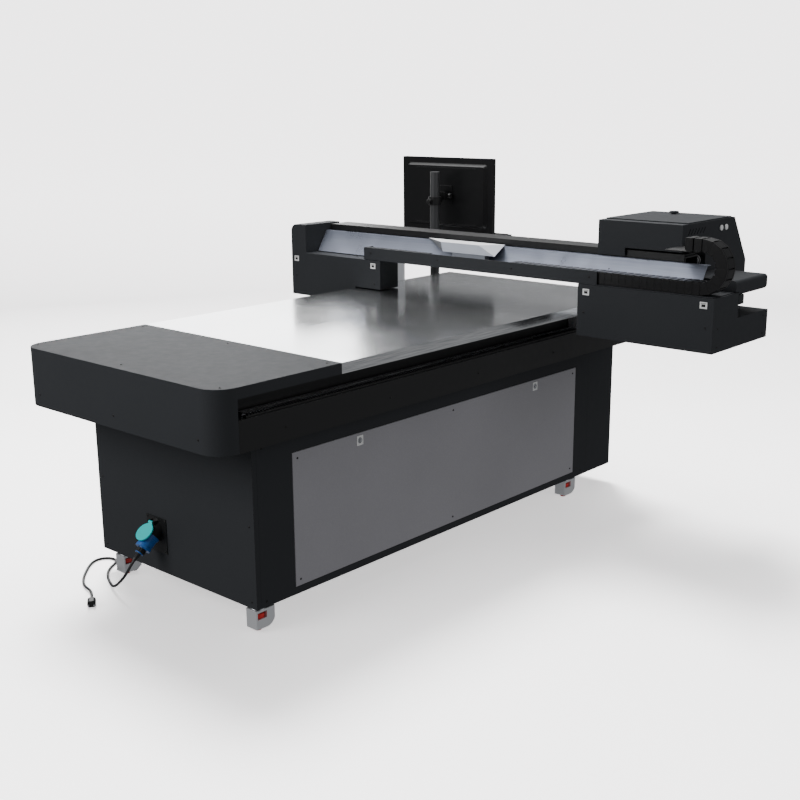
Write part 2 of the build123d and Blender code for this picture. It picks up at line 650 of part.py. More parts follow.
shelf_left, shelf_back = 905, 807
with BuildPart() as rear_shelf:
    block((shelf_left, right_step, 1025), (right_end, shelf_back, 1083))
    block((shelf_left, 533, right_top + 3.2), (right_end, right_step + 1, 1083))
    fillet(rear_shelf.edges().filter_by(Axis.X).group_by(Axis.Y)[-1], radius=16)
    fillet(rear_shelf.edges().filter_by(Axis.Y).group_by(Axis.X)[-1].sort_by(Axis.Z)[-1], radius=14)
    block((shelf_left, right_step + 3, 990), (right_end, right_step + 43, 1026))
    block((shelf_left, right_step + 3, tray_top), (shelf_left + 60, right_step + 43, 991))
save(rear_shelf, "rear_shelf")

guide_low, guide_high, guide_back = 1080, 1100, 652
with BuildPart() as carriage_guide:
    block((-1015, beam_back, guide_low), (890, guide_back, guide_high))
    for z in (guide_low - 1, guide_high - 2):
        block((-1016, beam_back + 4, z), (891, beam_back + 7, z + 3), Mode.SUBTRACT)
save(carriage_guide, "carriage_guide")

belt_front, belt_back = 644, 656
belt_inner, belt_thick = pulley_radius + 0.3, 1.6
pulley_span = drive_x - idler_x
with BuildPart() as drive_belt:
    with BuildSketch(at_y(belt_back)):
        with Locations(((idler_x + drive_x) / 2, pulley_z)):
            SlotCenterToCenter(pulley_span, 2 * (belt_inner + belt_thick))
            SlotCenterToCenter(pulley_span, 2 * belt_inner, mode=Mode.SUBTRACT)
    extrude(amount=belt_back - belt_front)
save(drive_belt, "drive_belt")

for name, x in (("drive_pulley", drive_x), ("idler_pulley", idler_x)):
    with BuildPart() as pulley:
        rod((x, 643, pulley_z), (0, 1, 0), 15, pulley_radius)
        for y in (642.2, 656.6):
            rod((x, y, pulley_z), (0, 1, 0), 1.2, pulley_radius + 3)
        with BuildSketch(at_y(656.5)):
            with Locations((x, pulley_z)):
                with PolarLocations(pulley_radius, 20):
                    Circle(0.8)
        extrude(amount=13, mode=Mode.SUBTRACT)
        rod((x, 642, pulley_z), (0, 1, 0), 17, shaft_radius + 0.08, Mode.SUBTRACT)
    save(pulley, name)

block_bottom, block_top, arm_top = slot_bottom + 0.5, 828, 858
guide_play = 0.3
truck_front, truck_back = 610, 790
with BuildPart() as truck_plates:
    for left, right in across(327, 371):
        for y in (truck_front, truck_back - 70):
            block((left, y, block_bottom), (right, y + 70, block_top + 2))
    for left, right in across(guide_inner - guide_play, guide_outer + guide_play):
        block((left, truck_front - 1, block_bottom - 1),
              (right, truck_back + 1, guide_top + guide_play), Mode.SUBTRACT)
    block((327, truck_front, block_top + 2), (529, truck_back, arm_top))
    block((524, 563, block_top + 2), (529, truck_back, 890))
    block((left_inner + 1, truck_front, block_top + 2), (mirrored(327), truck_back, arm_top))
    block((left_inner + 1, leg_back + 1, housing_bottom), (-694, left_back, left_top))
save(truck_plates, "truck_plates")

cap_top_z = 897
with BuildPart() as cap_tray:
    block((575, 718, housing_bottom + wall), (845, 806, 870))
    block((579, 722, 850), (841, 802, 871), Mode.SUBTRACT)
    for x in (590, 652, 714, 776):
        block((x, 730, 849), (x + 48, 794, cap_top_z))
        block((x + 5, 735, cap_top_z - 8), (x + 43, 789, cap_top_z + 1), Mode.SUBTRACT)
save(cap_tray, "cap_tray")

# cable chain: a lower run in the trough, a half turn, and an upper run to the carriage
run_low, run_high = chain_z - chain_outer, chain_z - chain_inner
top_low, top_high = chain_z + chain_inner, chain_z + chain_outer
groove, groove_depth = 5, 3


def chain_run(x_from, x_to, z_low, z_high, outside):
    """A straight stretch of links with a groove between each two on its outer side."""
    block((x_from, chain_front, z_low), (x_to, chain_back, z_high))
    count = int((x_to - x_from) / link_pitch)
    z = z_low if outside < 0 else z_high
    for i in range(1, count + 1):
        x = x_to - i * link_pitch
        block((x - groove / 2, chain_front - 1, z - groove_depth),
              (x + groove / 2, chain_back + 1, z + groove_depth), Mode.SUBTRACT)


with BuildPart() as chain_lower_run:
    chain_run(chain_anchor_x, chain_x - 0.3, run_low, run_high, -1)
save(chain_lower_run, "chain_lower_run")

with BuildPart() as chain_upper_run:
    chain_run(chain_top_x, chain_x - 0.3, top_low, top_high, 1)
save(chain_upper_run, "chain_upper_run")

with BuildPart() as chain_bend:
    with BuildSketch(at_y(chain_back)):
        with Locations((chain_x, chain_z)):
            Circle(chain_outer)
            Circle(chain_inner, mode=Mode.SUBTRACT)
            with Locations((-chain_outer, 0)):
                Rectangle(2 * chain_outer, 3 * chain_outer, mode=Mode.SUBTRACT)
            with PolarLocations(chain_outer, 7, start_angle=-67.5, angular_range=135, endpoint=True):
                Rectangle(2 * groove_depth, groove, mode=Mode.SUBTRACT)
    extrude(amount=chain_back - chain_front)
save(chain_bend, "chain_bend")

# ------------------------------------------------------------------ carriage
frame_plate_front, frame_plate_back = 661, 673
slide_x = (625, 795)
slide_y, slide_radius = 690, 6
carriage_low = 1044                 # everything in front of the left housing's back stays above this
tongue_z = 1197
with BuildPart() as carriage_frame:
    block((545, frame_plate_front, carriage_low), (850, frame_plate_back, tongue_z))
    for x in (560, 790):
        block((x, guide_back - 7, guide_low - 12), (x + 60, frame_plate_front, guide_high + 5))
    block((550, beam_back - 1, guide_low - guide_play), (860, guide_back + guide_play, guide_high + guide_play),
          Mode.SUBTRACT)
    for z_low, z_high in ((1105.3, 1107.8), (1110.1, 1114)):
        block((670, 645, z_low), (730, frame_plate_front, z_high))
    for x in slide_x:
        for z_low, z_high in ((carriage_low, carriage_low + 10), (1157, 1167)):
            block((x - 14, frame_plate_back, z_low), (x + 14, slide_y + 12, z_high))
        rod((x, slide_y, carriage_low), (0, 0, 1), 123, slide_radius)
    # shelf inside the cover and the tongue that takes the end of the cable chain
    block((700, 540, tongue_z), (891, frame_plate_back, tongue_z + 3.5))
    block((890, 540, tongue_z), (1015, 560, tongue_z + 3.5))
    block((900, 376, tongue_z), (1015, 560, tongue_z + 3.5))
    fillet(carriage_frame.edges().filter_by(Axis.Z).group_by(Axis.Y)[0], radius=10)
save(carriage_frame, "carriage_frame")

cover_side = [(carriage_front, 1173), (carriage_front, carriage_top), (949, carriage_top),
              (carriage_back, 1094), (carriage_back, 946), (712, 946), (712, 1173)]
cover_hollow = [(carriage_front + sheet, 1172), (carriage_front + sheet, carriage_top - sheet),
                (948, carriage_top - sheet), (carriage_back - sheet, 1093.5),
                (carriage_back - sheet, 945), (711, 945), (711, 1172)]
lid_front, lid_back = 565, 935
with BuildPart() as carriage_cover:
    prism(at_x(carriage_left), cover_side, carriage_right - carriage_left)
    block((carriage_left, carriage_front, 1140), (644, carriage_front + 6, 1180))
    fillet(carriage_cover.edges().filter_by(Axis.X).group_by(Axis.Z)[-1], radius=1.8)
    prism(at_x(carriage_left + sheet), cover_hollow, carriage_right - carriage_left - 2 * sheet, Mode.SUBTRACT)
    block((carriage_left + sheet, carriage_front + sheet, 1139), (645, 560, 1181), Mode.SUBTRACT)
    block((carriage_left - 1, carriage_front + sheet, 1139),
          (carriage_left + sheet + 1, 560, 1173), Mode.SUBTRACT)
    block((530, lid_front + 12, carriage_top - 3), (883, lid_back - 8, carriage_top + 1), Mode.SUBTRACT)
    block((892, 538, tongue_z - 1.5), (896, 562, tongue_z + 5), Mode.SUBTRACT)
    # cooling louvres near the front of the right side
    with BuildSketch(at_x(carriage_right + 1)):
        for i in range(6):
            with Locations((572 + i * 24, 1246)):
                SlotOverall(30, 5, rotation=50)
    extrude(amount=-4, mode=Mode.SUBTRACT)
    # two round ports for the curing lamp's leads
    for y in (833, 875):
        rod((carriage_right - 4, y, 1243), (1, 0, 0), 6, 9, Mode.SUBTRACT)
        rod((carriage_right - sheet, y, 1243), (1, 0, 0), 5, 9)
save(carriage_cover, "carriage_cover")

lid_low_z, lid_high_z = carriage_top + 0.4, carriage_top + 4.5
knob_x, knob_y = 662, 868
with BuildPart() as carriage_lid:
    block((carriage_left + 5, lid_front, lid_low_z), (carriage_right - 5, lid_back, lid_high_z))
    fillet(carriage_lid.edges().filter_by(Axis.Z), radius=6)
    fillet(carriage_lid.edges().group_by(Axis.Z)[-1], radius=1)
    rod((knob_x, knob_y, lid_high_z - 1), (0, 0, 1), 6, 10)
    rod((knob_x, knob_y, lid_high_z + 4), (0, 0, 1), 8, 20)
    fillet(carriage_lid.edges().group_by(Axis.Z)[-1], radius=2.5)
save(carriage_lid, "carriage_lid")

with BuildPart() as head_plate:
    block((572, 710, 1012), (848, 806, 1020))
    block((600, 710, 1012), (820, 716, 1150))
    for x in slide_x:
        block((x - 16, 676, 1104), (x + 16, 712, 1148))
        rod((x, slide_y, 1100), (0, 0, 1), 60, slide_radius + 0.1, Mode.SUBTRACT)
save(head_plate, "head_plate")

with BuildPart() as print_heads:
    for x in (590, 652, 714, 776):
        block((x, 730, 954), (x + 48, 794, 1012))
        block((x + 4, 734, 950), (x + 44, 790, 955))
    for x in (574, 829):
        block((x, 722, 962), (x + 13, 802, 1012))
save(print_heads, "print_heads")
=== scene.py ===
"""The looks of the flatbed UV printer: materials, fastenings, chain links, the mains lead and the studio."""
import bmesh
import bpy
import json
import math
from mathutils import Matrix, Vector


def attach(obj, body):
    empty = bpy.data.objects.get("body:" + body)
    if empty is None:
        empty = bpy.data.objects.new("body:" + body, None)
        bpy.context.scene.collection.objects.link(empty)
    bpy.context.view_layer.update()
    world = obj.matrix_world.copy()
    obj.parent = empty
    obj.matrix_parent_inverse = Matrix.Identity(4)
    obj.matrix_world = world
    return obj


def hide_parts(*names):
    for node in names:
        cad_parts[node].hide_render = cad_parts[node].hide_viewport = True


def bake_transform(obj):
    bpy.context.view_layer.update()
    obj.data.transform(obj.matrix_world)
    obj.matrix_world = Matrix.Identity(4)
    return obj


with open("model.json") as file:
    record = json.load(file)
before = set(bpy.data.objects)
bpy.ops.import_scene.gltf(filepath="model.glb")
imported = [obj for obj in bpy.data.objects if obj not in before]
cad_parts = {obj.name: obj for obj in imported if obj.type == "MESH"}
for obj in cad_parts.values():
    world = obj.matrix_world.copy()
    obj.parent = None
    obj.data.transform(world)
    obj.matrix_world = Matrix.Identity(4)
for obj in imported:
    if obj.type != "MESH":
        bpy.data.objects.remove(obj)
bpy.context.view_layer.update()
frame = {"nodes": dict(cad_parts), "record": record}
nodes = frame["nodes"]
slot_of = {part["node"]: part["material_slot"] for part in frame["record"]["subparts"]}


# ------------------------------------------------------------------ camera
camera_place = (3.0864, -3.5449, 1.7449)
camera_forward = Vector((-0.6475, 0.7207, -0.2478)).normalized()
camera_roll = math.radians(-0.40)
camera_lens = 52.6


def make_camera():
    """The camera, with its roll about the line of sight."""
    side = camera_forward.cross(Vector((0, 0, 1))).normalized()
    up = side.cross(camera_forward)
    right = side * math.cos(camera_roll) + up * math.sin(camera_roll)
    top = right.cross(camera_forward)
    data = bpy.data.cameras.new("camera")
    data.lens = camera_lens
    data.sensor_width = 36
    data.clip_end = 60
    camera = bpy.data.objects.new("camera", data)
    bpy.context.scene.collection.objects.link(camera)
    turn = Matrix((right, top, -camera_forward)).transposed().to_4x4()
    camera.matrix_world = Matrix.Translation(camera_place) @ turn
    bpy.context.scene.camera = camera


make_camera()


# ------------------------------------------------------------------ materials
class Shader:
    """A small builder for one procedural material, with object coordinates throughout."""

    def __init__(self, name):
        self.material = bpy.data.materials.new(name)
        self.material.use_nodes = True
        self.tree = self.material.node_tree
        self.surface = self.tree.nodes["Principled BSDF"]
        self.place = self.node("ShaderNodeTexCoord").outputs["Object"]

    def node(self, kind, links=None, values=None, **settings):
        """Add a node: links go to its inputs by name, values are set on them."""
        made = self.tree.nodes.new(kind)
        for key, value in settings.items():
            setattr(made, key, value)
        for key, value in (values or {}).items():
            made.inputs[key].default_value = value
        for key, output in (links or {}).items():
            self.tree.links.new(output, made.inputs[key])
        return made

    def link(self, output, socket):
        self.tree.links.new(output, self.surface.inputs[socket])

    def value(self, socket, number):
        self.surface.inputs[socket].default_value = number

    def stretched(self, scale):
        """Object coordinates scaled apart along each axis, for brushed lines."""
        return self.node("ShaderNodeMapping", {"Vector": self.place}, {"Scale": scale}).outputs[0]

    def noise(self, scale, detail=3.0, where=None):
        links = {"Vector": where or self.place}
        return self.node("ShaderNodeTexNoise", links, {"Scale": scale, "Detail": detail}).outputs["Fac"]

    def ramp(self, factor, low, high, out_low=0.0, out_high=1.0):
        values = {"From Min": low, "From Max": high, "To Min": out_low, "To Max": out_high}
        return self.node("ShaderNodeMapRange", {"Value": factor}, values).outputs["Result"]

    def mix(self, factor, first, second):
        made = self.node("ShaderNodeMix", data_type="RGBA")
        self.tree.links.new(factor, made.inputs["Factor"])
        for socket, colour in ((6, first), (7, second)):
            if isinstance(colour, tuple):
                made.inputs[socket].default_value = (*colour, 1)
            else:
                self.tree.links.new(colour, made.inputs[socket])
        return made.outputs[2]

    def math(self, operation, first, second):
        made = self.node("ShaderNodeMath", operation=operation)
        for socket, value in ((0, first), (1, second)):
            if isinstance(value, (int, float)):
                made.inputs[socket].default_value = value
            else:
                self.tree.links.new(value, made.inputs[socket])
        return made.outputs[0]

    def part(self, which, vector=None):
        return self.node("ShaderNodeSeparateXYZ", {"Vector": vector or self.place}).outputs[which]

    def bump(self, height, distance, strength=1.0, edge=0.0):
        """Bump from a height, with rounded edges when edge is their radius."""
        links = {"Height": height}
        if edge:
            links["Normal"] = self.node("ShaderNodeBevel", values={"Radius": edge}, samples=4).outputs[0]
        made = self.node("ShaderNodeBump", links, {"Distance": distance, "Strength": strength})
        self.link(made.outputs["Normal"], "Normal")

    def edges(self, radius):
        """A mask that is one along convex and concave edges."""
        bevel = self.node("ShaderNodeBevel", values={"Radius": radius}, samples=4).outputs[0]
        flat = self.node("ShaderNodeNewGeometry").outputs["Normal"]
        dot = self.node("ShaderNodeVectorMath", operation="DOT_PRODUCT")
        self.tree.links.new(bevel, dot.inputs[0])
        self.tree.links.new(flat, dot.inputs[1])
        return self.ramp(dot.outputs["Value"], 0.999, 0.90)


def shade(colour, factor):
    """A lighter or darker tone of a colour."""
    return tuple(min(1.0, c * factor) for c in colour)


def coating(name, colour, roughness=0.45, metallic=0.0, grain=900, depth=0.00006, wear=0.5, edge=0.0012,
            speckle=0.0, worn=None, coat=0.0, specular=0.5):
    """Paint, powder coat, moulded plastic or cast metal: fine grain, soft blotches and rubbed edges."""
    s = Shader(name)
    fine = s.noise(grain, 4.0)
    blotches = s.noise(2.2, 5.0)
    body = s.mix(s.ramp(blotches, 0.3, 0.7), shade(colour, 0.95), shade(colour, 1.05))
    if speckle:
        grains = s.noise(grain * 0.5, 2.0)
        body = s.mix(s.ramp(grains, 0.45, 0.75, 0.0, speckle), body, shade(colour, 2.2))
    rubbed = s.math("MULTIPLY", s.edges(edge), s.ramp(s.noise(45, 3.0), 0.4, 0.75, 0.0, wear))
    s.link(s.mix(rubbed, body, worn or shade(colour, 2.4)), "Base Color")
    s.link(s.ramp(s.noise(35, 6.0), 0.3, 0.7, roughness - 0.03, roughness + 0.03), "Roughness")
    s.value("Metallic", metallic)
    s.value("Specular IOR Level", specular)
    if coat:
        s.value("Coat Weight", coat)
        s.value("Coat Roughness", 0.18)
    s.bump(fine, depth, 0.6, edge)
    return s.material


def machined(name, colour, roughness=0.28, along=(6, 500, 500)):
    """Ground or drawn metal with fine lines along one direction."""
    s = Shader(name)
    lines = s.noise(1.0, 6.0, s.stretched(along))
    s.link(s.mix(s.ramp(lines, 0.3, 0.7), shade(colour, 0.82), shade(colour, 1.1)), "Base Color")
    s.link(s.ramp(lines, 0.3, 0.7, roughness - 0.08, roughness + 0.12), "Roughness")
    s.value("Metallic", 1.0)
    s.bump(lines, 0.00004, 0.5, 0.0006)
    return s.material


def platen_material():
    """Satin aluminium, brushed lengthways, with a square grid of small vacuum holes."""
    s = Shader("platen_aluminium")
    lines = s.noise(1.0, 7.0, s.stretched((420, 9, 420)))
    haze = s.noise(1.6, 4.0)
    holes = s.node("ShaderNodeTexVoronoi", {"Vector": s.place}, {"Scale": 80, "Randomness": 0.0},
                   feature="F1", voronoi_dimensions="2D")
    open_hole = s.ramp(holes.outputs["Distance"], 0.105, 0.085)
    metal = s.mix(s.ramp(lines, 0.3, 0.7), (0.50, 0.51, 0.52), (0.84, 0.85, 0.86))
    s.link(s.mix(s.math("MULTIPLY", open_hole, 0.9), metal, (0.05, 0.05, 0.055)), "Base Color")
    rough = s.math("ADD", s.ramp(lines, 0.3, 0.7, 0.13, 0.21), s.ramp(haze, 0.3, 0.7, -0.03, 0.05))
    s.link(rough, "Roughness")
    s.value("Metallic", 1.0)
    dents = s.math("SUBTRACT", s.math("MULTIPLY", lines, 0.12), open_hole)
    s.bump(dents, 0.0004, 0.7)
    return s.material


def slope_material():
    """Blue-grey satin sheet, with painted light that makes it lighter towards its foot."""
    s = Shader("slope_sheet")
    # painted light: light blue-grey at the sheet's foot, turning dark towards its top
    height = s.ramp(s.part("Z"), 1.04, 1.135)
    lines = s.noise(1.0, 6.0, s.stretched((5, 300, 300)))
    body = s.mix(height, (0.52, 0.56, 0.68), (0.20, 0.22, 0.28))
    s.link(s.mix(s.ramp(lines, 0.35, 0.8, 0.0, 0.25), body, (0.55, 0.58, 0.66)), "Base Color")
    s.link(s.ramp(s.noise(12, 5.0), 0.3, 0.7, 0.26, 0.38), "Roughness")
    s.value("Metallic", 0.7)
    s.bump(lines, 0.00005, 0.4, 0.0008)
    return s.material


def hood_material():
    """The chain hood: white on top, with painted shade that makes its sloped face grey, and dark at its
    folded ends.
    """
    s = Shader("saddle_hood")
    normal = s.node("ShaderNodeNewGeometry").outputs["True Normal"]
    top_without_painted_shade = s.ramp(s.part("Z", normal), 0.93, 0.97)
    sideways = s.ramp(s.math("ABSOLUTE", s.part("X", normal), 0.0), 0.25, 0.35)
    # painted shade: faces that don't point up get grey in place of the hood's white
    body = s.mix(top_without_painted_shade, (0.28, 0.30, 0.35), (0.97, 0.97, 0.99))
    body = s.mix(sideways, body, (0.035, 0.037, 0.042))
    blotches = s.ramp(s.noise(5, 5.0), 0.3, 0.7, 0.0, 0.2)
    s.link(s.mix(blotches, body, (0.45, 0.47, 0.52)), "Base Color")
    s.link(s.ramp(s.noise(20, 5.0), 0.3, 0.7, 0.3, 0.42), "Roughness")
    s.bump(s.noise(900, 4.0), 0.00005, 0.5, 0.0008)
    return s.material


def screen_material():
    """Dark anti-glare glass with faint smears."""
    s = Shader("screen_glass")
    smears = s.noise(14, 7.0)
    s.link(s.mix(s.ramp(smears, 0.4, 0.8), (0.004, 0.004, 0.006), (0.012, 0.013, 0.017)), "Base Color")
    s.link(s.ramp(smears, 0.3, 0.8, 0.12, 0.26), "Roughness")
    s.bump(s.noise(1500, 2.0), 0.00001, 0.3)
    return s.material


backdrop_way = Vector((-0.668, 0.744, 0)).normalized()


def backdrop_material():
    """The pale studio floor, which lights up a little towards its sweep."""
    s = Shader("studio_floor")
    s.link(s.mix(s.noise(0.6, 3.0), (0.80, 0.79, 0.79), (0.83, 0.82, 0.82)), "Base Color")
    s.link(s.ramp(s.noise(3, 3.0), 0.3, 0.7, 0.5, 0.6), "Roughness")
    s.surface.inputs["Emission Color"].default_value = (1.0, 0.975, 0.98, 1)
    along = s.node("ShaderNodeVectorMath", {0: s.place}, {1: tuple(backdrop_way)}, operation="DOT_PRODUCT")
    s.link(s.ramp(along.outputs["Value"], 2.5, 8.0, 0.9, 3.4), "Emission Strength")
    return s.material


charcoal = (0.0320, 0.0340, 0.0375)
looks = {
    "frame_black": coating("frame_black", (0.005, 0.005, 0.0055), 0.45, specular=0.35),
    "cover_charcoal": coating("cover_charcoal", charcoal, 0.64, speckle=0.10, wear=0.3, specular=0.10),
    "panel_grey": coating("panel_grey", (0.300, 0.294, 0.316), 0.45, speckle=0.16, wear=0.3),
    "slope_grey": slope_material(),
    "platen_aluminium": platen_material(),
    "bare_steel": machined("bare_steel", (0.52, 0.53, 0.55), 0.26, (500, 6, 500)),
    "castor_silver": coating("castor_silver", (0.72, 0.73, 0.75), 0.36, 0.75, 500, 0.0001, 0.6,
                             worn=(0.85, 0.86, 0.87)),
    "castor_red": coating("castor_red", (0.75, 0.015, 0.012), 0.35, wear=0.4, coat=0.3),
    "black_plastic": coating("black_plastic", (0.006, 0.006, 0.0065), 0.48, grain=1500, specular=0.35),
    "black_gloss": coating("black_gloss", (0.003, 0.003, 0.0035), 0.34, grain=1200, depth=0.00002, wear=0.12,
                           specular=0.3),
    "chain_black": coating("chain_black", (0.0035, 0.0035, 0.004), 0.42, grain=700, wear=0.2, specular=0.22),
    "belt_rubber": coating("belt_rubber", (0.010, 0.010, 0.010), 0.68, grain=700, wear=0.2),
    "lid_cyan": coating("lid_cyan", (0.0, 0.72, 0.72), 0.3, wear=0.2, coat=0.3),
    "connector_blue": coating("connector_blue", (0.012, 0.13, 0.46), 0.32, wear=0.3, coat=0.3),
    "cord_black": coating("cord_black", (0.010, 0.010, 0.011), 0.45, grain=1600, wear=0.0),
    "electronics_green": coating("electronics_green", (0.06, 0.12, 0.10), 0.5),
}
white_label = coating("blank_label", (0.86, 0.86, 0.85), 0.4, wear=0.2)
special = {"saddle_cover": hood_material(), "carriage_frame": looks["frame_black"],
           "head_plate": looks["frame_black"],
           "pole": coating("pole_paint", (0.035, 0.036, 0.038), 0.4)}

for name, piece in nodes.items():
    piece.data.materials.clear()
    piece.data.materials.append(special.get(name) or looks[slot_of[name]])


# ------------------------------------------------------------------ mesh helpers
def piece_from(bm, name, slot, body, material=None, smooth=False):
    """An object made from a bmesh, riding on a body, or on none yet when it is to be blended."""
    mesh = bpy.data.meshes.new(name)
    bmesh.ops.recalc_face_normals(bm, faces=bm.faces)
    bm.to_mesh(mesh)
    bm.free()
    if smooth:
        mesh.shade_smooth()
        mesh.set_sharp_from_angle(angle=math.radians(35))
    mesh.materials.append(material or looks[slot])
    made = bpy.data.objects.new(name, mesh)
    bpy.context.scene.collection.objects.link(made)
    if body:
        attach(made, body)
    return made


def add_block(bm, low, high, bevel=0.0):
    """A block between two corners, with bevelled edges where bevel is given."""
    low, high = Vector(low), Vector(high)
    size, middle = high - low, (high + low) / 2
    place = Matrix.Translation(middle) @ Matrix.Diagonal((*size, 1))
    verts = bmesh.ops.create_cube(bm, size=1, matrix=place)["verts"]
    if bevel:
        lines = list({line for v in verts for line in v.link_edges})
        bmesh.ops.bevel(bm, geom=lines, offset=bevel, segments=2, profile=0.6, affect="EDGES")


def add_lathe(bm, start, direction, profile, segments=24, flutes=0, flute_depth=0.0):
    """A turned shape: profile holds (distance along the direction, radius)."""
    axis = Vector(direction).normalized()
    side = axis.orthogonal().normalized()
    other = axis.cross(side)
    rings = []
    for along, radius in profile:
        ring = []
        for i in range(segments):
            angle = 2 * math.pi * i / segments
            r = radius
            if flutes:
                r -= flute_depth * (0.5 + 0.5 * math.cos(flutes * angle))
            ring.append(bm.verts.new(Vector(start) + axis * along
                                     + (side * math.cos(angle) + other * math.sin(angle)) * r))
        rings.append(ring)
    for first, second in zip(rings, rings[1:]):
        for i in range(segments):
            j = (i + 1) % segments
            bm.faces.new((first[i], first[j], second[j], second[i]))
    bm.faces.new(rings[0][::-1])
    bm.faces.new(rings[-1])


def add_screw(bm, spot, direction, radius=0.0045):
    """A button-head screw with a round socket."""
    profile = [(-0.001, radius), (0.0004, radius), (0.0014, radius * 0.8), (0.002, radius * 0.5),
               (0.0008, radius * 0.42), (0.0006, radius * 0.05)]
    add_lathe(bm, spot, direction, profile, 20)


# ------------------------------------------------------------------ mains lead
cord_points = [(-0.240, -1.2508, 0.1775), (-0.240, -1.2799, 0.1531), (-0.262, -1.296, 0.104),
               (-0.308, -1.299, 0.058), (-0.373, -1.279, 0.020), (-0.441, -1.247, 0.0053),
               (-0.507, -1.215, 0.0053), (-0.563, -1.169, 0.0053), (-0.604, -1.098, 0.0053),
               (-0.654, -1.097, 0.0053), (-0.6815, -1.1363, 0.0053), (-0.6645, -1.1815, 0.0053),
               (-0.6093, -1.2402, 0.0053), (-0.5513, -1.2924, 0.0053), (-0.4855, -1.3304, 0.008),
               (-0.4146, -1.3429, 0.0122), (-0.3671, -1.3762, 0.0122)]
cord_radius = 0.005
curve = bpy.data.curves.new("mains_lead", "CURVE")
curve.dimensions = "3D"
curve.bevel_depth = cord_radius
curve.bevel_resolution = 5
curve.resolution_u = 16
spline = curve.splines.new("NURBS")
spline.points.add(len(cord_points) - 1)
for point, place in zip(spline.points, cord_points):
    point.co = (*place, 1)
spline.order_u = 3
spline.use_endpoint_u = True
curve.materials.append(looks["cord_black"])
lead = bpy.data.objects.new("mains_lead", curve)
bpy.context.scene.collection.objects.link(lead)
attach(lead, "base")
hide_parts("cord")

# the connector stands out of the inlet's face and points down at this slope
connector_slope = math.radians(40)
down = Vector((0, -math.cos(connector_slope), -math.sin(connector_slope)))
inlet_face = Vector((-0.240, -1.165, 0.2495))
gland_end = 0.112
nut_start = 0.0905
grip_start = 0.047
grip_pitch = 0.0035
bm = bmesh.new()
add_lathe(bm, inlet_face + down * (gland_end - 0.001), down,
          [(0, 0.0108), (0.004, 0.0105), (0.006, 0.0088), (0.009, 0.0100), (0.012, 0.0082), (0.015, 0.0092),
           (0.018, 0.0075), (0.021, 0.0084), (0.024, 0.0068), (0.028, 0.0072), (0.032, 0.0056)], 28)
relief = piece_from(bm, "lead_strain_relief", "cord_black", "base", smooth=True)

bm = bmesh.new()
add_lathe(bm, inlet_face + down * nut_start, down,
          [(0, 0.0155), (0.001, 0.0178), (0.017, 0.0178), (0.0215, 0.0130), (0.0218, 0.009)], 96, 12, 0.0011)
gland = piece_from(bm, "connector_gland_nut", "black_plastic", "base", smooth=True)

bm = bmesh.new()
for i in range(9):
    ring_at = inlet_face + down * (grip_start + i * grip_pitch)
    add_lathe(bm, ring_at, down, [(0, 0.0279), (0.0004, 0.0286), (0.0016, 0.0286), (0.002, 0.0279)], 48)
grip = piece_from(bm, "connector_grip", "connector_blue", "base", smooth=True)

plug_heading = Vector((0.0475, -0.0333, 0)).normalized()
plug_across = Vector((-plug_heading.y, plug_heading.x, 0))
pin_foot = Vector(cord_points[-1]) + plug_heading * 0.062
half_pin_pitch = 0.0095
pin_radius = 0.00246
bm = bmesh.new()
for side in (-1, 1):
    add_lathe(bm, pin_foot + plug_across * side * half_pin_pitch, plug_heading,
              [(0, pin_radius), (0.0160, pin_radius), (0.0169, 0.0020), (0.01705, 0.0010)], 20)
pins = piece_from(bm, "plug_pin_sleeves", "bare_steel", "base", smooth=True)

# ------------------------------------------------------------------ fastenings and plates
right, left = (1, 0, 0), (-1, 0, 0)
front, back, up = (0, -1, 0), (0, 1, 0), (0, 0, 1)
cover_top = 0.9
table_front, table_right, table_left = -1.38, 0.397, -0.691
table_screw_z = 0.733
table_screw_y = (-1.10, -0.60, -0.10, 0.40, 0.90)
cabinet_front, cabinet_back, cabinet_right = -1.165, 1.030, 0.296
cabinet_screw_x = (-0.565, 0.271)
cabinet_screw_z = (0.11, 0.38, 0.665)
base_screws = [((x, y, cover_top), up) for x in (-0.655, -0.147, 0.362) for y in (-1.335, -0.875)]
base_screws += [((x, table_front, table_screw_z), front) for x in (-0.595, -0.147, 0.30)]
base_screws += [((table_right, y, table_screw_z), right) for y in table_screw_y]
base_screws += [((table_left, y, table_screw_z), left) for y in table_screw_y]
base_screws += [((x, cabinet_front, z), front) for x in cabinet_screw_x for z in cabinet_screw_z]
base_screws += [((cabinet_right, y, z), right) for y in (-1.12, 0.79) for z in (0.105, 0.645)]
base_screws += [((x, cabinet_back, z), back) for x in cabinet_screw_x for z in cabinet_screw_z]
base_screws += [((inlet_face.x + shift, cabinet_front - 0.003, z), front)
                for shift in (-0.05, 0.05) for z in (0.170, 0.288)]
bm = bmesh.new()
for spot, facing in base_screws:
    add_screw(bm, spot, facing)
piece_from(bm, "screws_base", "bare_steel", "base", looks["black_plastic"], True)

panel_right = 0.297
bm = bmesh.new()
for y in (-0.962, -0.13, 0.70):
    for z in (0.137, 0.576):
        add_screw(bm, (panel_right, y, z), right, 0.004)
piece_from(bm, "screws_service_panel", "bare_steel", "service_door", looks["black_plastic"], True)

gantry_front = 0.363
gantry_screws = [((x, 0.380, 1.093), up) for x in (-0.61, -0.44, -0.28)]
gantry_screws += [((x, gantry_front, 1.068), front) for x in (-0.60, -0.2, 0.2, 0.58)]
gantry_screws += [((x, gantry_front, 0.925), front) for x in (-1.10, -0.58, 0.56, 1.09)]
gantry_screws += [((-1.085, y, 1.170), up) for y in (0.39, 0.57)]
gantry_screws += [((1.122, y, z), right) for y in (0.40, 0.78) for z in (0.85, 0.92)]
bm = bmesh.new()
for spot, facing in gantry_screws:
    add_screw(bm, spot, facing)
piece_from(bm, "screws_gantry", "bare_steel", "gantry", looks["black_plastic"], True)

